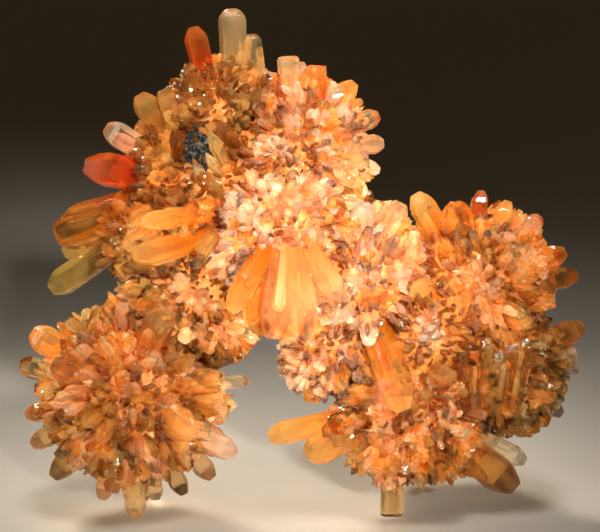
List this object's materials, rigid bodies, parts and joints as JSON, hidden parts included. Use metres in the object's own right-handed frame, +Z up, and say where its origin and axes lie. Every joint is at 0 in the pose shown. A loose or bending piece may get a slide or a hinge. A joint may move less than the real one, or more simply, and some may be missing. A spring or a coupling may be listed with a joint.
{
  "type": "creedite crystal cluster",
  "caption": "Arch-shaped cluster of radiating orange creedite crystal balls grown together, with a lump of dark rock, resting on its crystal tips.",
  "frame": {"origin": "on the surface that the cluster rests on, below the middle of its bounding box", "axes": "+Z up, +X to the right and -Y towards the viewer as the picture shows the cluster"},
  "size_m": [0.08, 0.044, 0.0712],
  "materials": {
    "creedite": "clear to milky orange crystal with glassy faces, paler at the tips",
    "dark_rock": "dark grey to black, fine-grained, sparkling"
  },
  "bodies": {
    "root": {"creedite_crystals": "creedite", "dark_rock": "dark_rock"}
  },
  "joints": []
}
